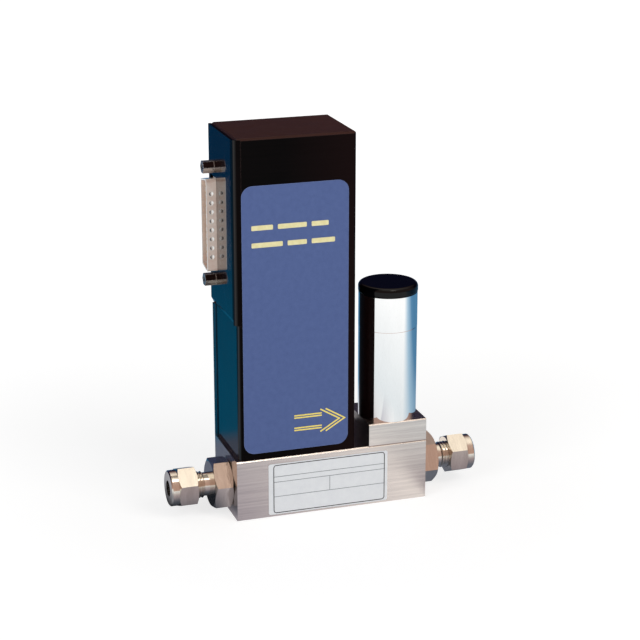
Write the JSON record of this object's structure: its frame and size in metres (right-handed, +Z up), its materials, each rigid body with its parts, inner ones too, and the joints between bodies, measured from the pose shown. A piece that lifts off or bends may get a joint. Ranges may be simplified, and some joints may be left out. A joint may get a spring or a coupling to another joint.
{
  "type": "mass flow controller",
  "caption": "Gas flow controller: steel base block with a tube fitting at each end, tall electronics housing with a D-shaped side connector, and a round solenoid valve.",
  "frame": {"origin": "middle of the base block's flat underside", "axes": "+X along the flow towards the outlet, +Y to the back, +Z up along the tall housing"},
  "size_m": [0.1338, 0.0379, 0.16],
  "materials": {
    "brushed_steel": "brushed along the flow",
    "polished_steel": "polished",
    "fitting_steel": "turned and polished",
    "machined_steel": "machined",
    "sintered_steel": "sintered, matt",
    "black_screw": "black oxide",
    "rubber_seal": "matt",
    "copper_wire": "enamelled copper wire",
    "black_anodised": "black anodised, fine brushed",
    "gloss_black": "gloss",
    "gloss_cap": "gloss black",
    "plated_shell": "bright plated",
    "black_plastic": "matt",
    "gold_pin": "gold plated",
    "green_board": "solder mask",
    "blue_sleeve": "gloss sleeve",
    "blue_plastic": "matt",
    "blue_label": "satin printed film",
    "cream_print": "printed ink",
    "white_label": "satin film",
    "dark_print": "printed ink"
  },
  "bodies": {
    "frame": {"base_block": "brushed_steel", "valve_block": "brushed_steel", "block_screws": "black_screw", "block_seals": "rubber_seal", "inlet_body": "fitting_steel", "inlet_nut": "fitting_steel", "inlet_front_ferrule": "machined_steel", "inlet_back_ferrule": "machined_steel", "outlet_body": "fitting_steel", "outlet_nut": "fitting_steel", "outlet_front_ferrule": "machined_steel", "outlet_back_ferrule": "machined_steel", "fitting_seals": "rubber_seal", "inlet_screen": "sintered_steel", "flow_restrictor": "machined_steel", "sensor_base": "machined_steel", "sensor_seals": "rubber_seal", "sensor_tube": "machined_steel", "sensor_windings": "copper_wire", "sensor_cover": "black_anodised", "sensor_screws": "machined_steel", "housing_cover": "black_anodised", "rear_screws": "machined_steel", "connector_plate": "gloss_black", "dsub_shell": "plated_shell", "dsub_insulator": "black_plastic", "dsub_pins": "gold_pin", "jackscrews": "plated_shell", "jack_nuts": "plated_shell", "main_board": "green_board", "board_standoffs": "machined_steel", "board_screws": "machined_steel", "board_chips": "black_plastic", "board_capacitors": "blue_sleeve", "board_trimmers": "blue_plastic", "front_label": "blue_label", "front_print": "cream_print", "rating_label": "white_label", "rating_print": "dark_print", "valve_seat": "machined_steel", "plunger_spring": "machined_steel", "valve_stem": "machined_steel", "stem_seal": "rubber_seal", "valve_pole": "machined_steel", "coil_bobbin": "black_plastic", "coil_winding": "copper_wire", "valve_yoke": "machined_steel", "pole_nut": "machined_steel", "sleeve_lower": "polished_steel", "sleeve_upper": "polished_steel", "valve_cap": "gloss_cap"},
    "plunger": {"valve_plunger": "machined_steel", "plunger_pad": "rubber_seal"}
  },
  "joints": [
    {"name": "plunger_lift", "type": "slide", "parent": "frame", "child": "plunger", "axis": [0, 0, 1], "range_m": [0, 0.0006], "stiffness_N_per_m": 1500, "springref_m": -0.0008, "deforming": ["plunger_spring"]}
  ]
}
